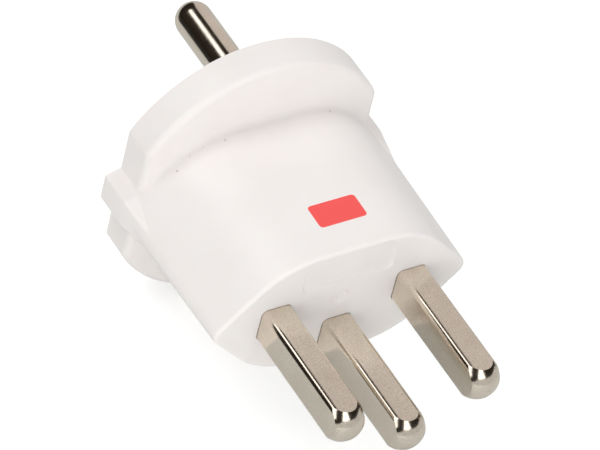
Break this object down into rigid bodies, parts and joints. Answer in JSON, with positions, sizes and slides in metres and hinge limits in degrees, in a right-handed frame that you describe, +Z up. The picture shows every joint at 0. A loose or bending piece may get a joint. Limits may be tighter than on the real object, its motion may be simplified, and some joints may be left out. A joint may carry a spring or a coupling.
{
  "type": "plug adapter",
  "caption": "Plug adapter with an ivory hexagonal body, rectangular plug pins on its front face and an earthed round-pin socket in a round flange on its rear.",
  "frame": {"origin": "centre of the plug face, midway between the two live plug pins where they leave the body", "axes": "+X from the line pin to the neutral pin; +Y from the plug face towards the socket face, so the plug pins point along -Y; +Z up, towards the side that carries the socket's earth pin"},
  "size_m": [0.0366, 0.0618, 0.0368],
  "materials": {
    "ivory_plastic": "satin",
    "carrier_plastic": "matte",
    "nickel_plate": "drawn and plated",
    "contact_brass": "as rolled",
    "spring_steel": "as rolled",
    "zinc_screws": "zinc plated"
  },
  "bodies": {
    "root": {"housing": "ivory_plastic", "socket_plate": "ivory_plastic", "contact_carrier": "carrier_plastic", "line_pin": "nickel_plate", "neutral_pin": "nickel_plate", "earth_pin": "nickel_plate", "socket_earth_pin": "nickel_plate", "line_contact": "contact_brass", "neutral_contact": "contact_brass", "earth_strap": "contact_brass", "line_contact_spring": "spring_steel", "neutral_contact_spring": "spring_steel", "contact_screws": "zinc_screws", "spring_washers": "spring_steel", "plate_screw": "zinc_screws"}
  },
  "joints": []
}
